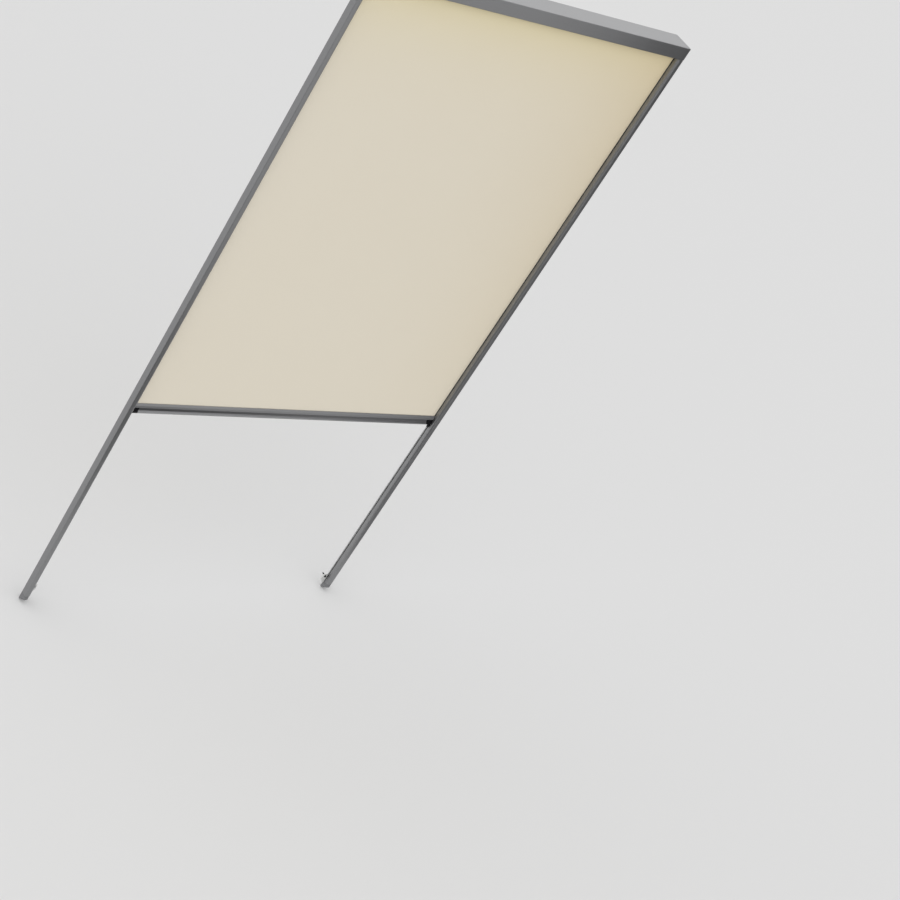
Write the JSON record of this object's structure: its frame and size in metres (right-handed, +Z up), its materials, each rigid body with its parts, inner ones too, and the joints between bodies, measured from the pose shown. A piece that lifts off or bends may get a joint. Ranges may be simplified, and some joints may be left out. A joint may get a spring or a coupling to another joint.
{
  "type": "skylight window blind",
  "caption": "Roof-window roller blind: spring roller in a slim aluminium head casing, side rails with feet, matt beige cloth and a cord-held bottom bar that slides and stays put.",
  "frame": {"origin": "middle of the head casing's flat top face", "axes": "+X across the window to the right as seen from the room, +Y out of the room towards the glass, +Z up the slope of the window, along the side rails"},
  "size_m": [0.65, 0.04, 1.2285],
  "materials": {
    "anodised_aluminium": "satin anodised grey",
    "mill_aluminium": "plain extruded",
    "plated_steel": "bright zinc plate",
    "spring_steel": "oiled wire",
    "grey_plastic": "fine moulded grain",
    "black_plastic": "satin moulded",
    "pale_plastic": "natural acetal",
    "dark_pile": "short dense pile",
    "grey_pile": "short dense pile",
    "braided_cord": "braided polyester",
    "blind_cloth": "fine matt weave, warm beige"
  },
  "bodies": {
    "blind_frame": {"head_casing": "anodised_aluminium", "casing_brush_strip": "dark_pile", "casing_end_cap_left": "anodised_aluminium", "casing_end_cap_right": "anodised_aluminium", "casing_screw_left_upper": "plated_steel", "casing_screw_left_lower": "plated_steel", "casing_screw_right_upper": "plated_steel", "casing_screw_right_lower": "plated_steel", "cord_ferrule_left": "plated_steel", "cord_ferrule_right": "plated_steel", "spring_shaft": "plated_steel", "spring_fixed_collar": "pale_plastic", "roller_spring": "spring_steel", "idle_pin": "plated_steel", "side_rail_left": "anodised_aluminium", "side_rail_right": "anodised_aluminium", "rail_seal_left_front": "grey_pile", "rail_seal_left_back": "grey_pile", "rail_seal_right_front": "grey_pile", "rail_seal_right_back": "grey_pile", "rail_foot_left": "grey_plastic", "rail_foot_right": "grey_plastic", "foot_screw_left": "black_plastic", "foot_screw_right": "black_plastic", "tension_cord_left": "braided_cord", "tension_cord_right": "braided_cord", "cord_spring_left": "spring_steel", "cord_spring_right": "spring_steel", "fabric_sheet": "blind_cloth"},
    "winding_roller": {"roller_tube": "mill_aluminium", "fabric_roll": "blind_cloth", "roller_plug_left": "pale_plastic", "roller_plug_right": "pale_plastic", "spring_drive_plug": "pale_plastic"},
    "sliding_bar": {"bottom_bar": "anodised_aluminium", "fabric_keeper": "pale_plastic", "bar_end_cap_left": "black_plastic", "bar_end_cap_right": "black_plastic", "bar_glide_left": "pale_plastic", "bar_glide_right": "pale_plastic", "pulley_pin_left_upper": "plated_steel", "pulley_pin_left_lower": "plated_steel", "pulley_pin_right_upper": "plated_steel", "pulley_pin_right_lower": "plated_steel", "cross_cord_front": "braided_cord", "cross_cord_back": "braided_cord"},
    "left_upper_pulley": {"pulley_left_upper": "pale_plastic"},
    "left_lower_pulley": {"pulley_left_lower": "pale_plastic"},
    "right_upper_pulley": {"pulley_right_upper": "pale_plastic"},
    "right_lower_pulley": {"pulley_right_lower": "pale_plastic"}
  },
  "joints": [
    {"name": "bar_slide", "type": "slide", "parent": "blind_frame", "child": "sliding_bar", "axis": [0, 0, 1], "range_m": [-0.38, 0.75], "deforming": ["fabric_sheet"]},
    {"name": "roller_spin", "type": "hinge", "parent": "blind_frame", "child": "winding_roller", "pos_m": [0, 0.00228, -0.02], "axis": [1, 0, 0], "continuous": true},
    {"name": "left_upper_pulley_spin", "type": "hinge", "parent": "sliding_bar", "child": "left_upper_pulley", "pos_m": [-0.3194, -0.0102, -0.79683], "axis": [0, 1, 0], "continuous": true},
    {"name": "left_lower_pulley_spin", "type": "hinge", "parent": "sliding_bar", "child": "left_lower_pulley", "pos_m": [-0.3194, -0.0102, -0.80412], "axis": [0, 1, 0], "continuous": true},
    {"name": "right_upper_pulley_spin", "type": "hinge", "parent": "sliding_bar", "child": "right_upper_pulley", "pos_m": [0.3194, -0.0102, -0.79683], "axis": [0, 1, 0], "continuous": true},
    {"name": "right_lower_pulley_spin", "type": "hinge", "parent": "sliding_bar", "child": "right_lower_pulley", "pos_m": [0.3194, -0.0102, -0.80412], "axis": [0, 1, 0], "continuous": true}
  ],
  "couplings": [
    {"joint": "roller_spin", "follows": "bar_slide", "rad_per_m": -80.16},
    {"joint": "left_upper_pulley_spin", "follows": "bar_slide", "rad_per_m": -377.36},
    {"joint": "left_lower_pulley_spin", "follows": "bar_slide", "rad_per_m": -377.36},
    {"joint": "right_upper_pulley_spin", "follows": "bar_slide", "rad_per_m": 377.36},
    {"joint": "right_lower_pulley_spin", "follows": "bar_slide", "rad_per_m": 377.36}
  ]
}
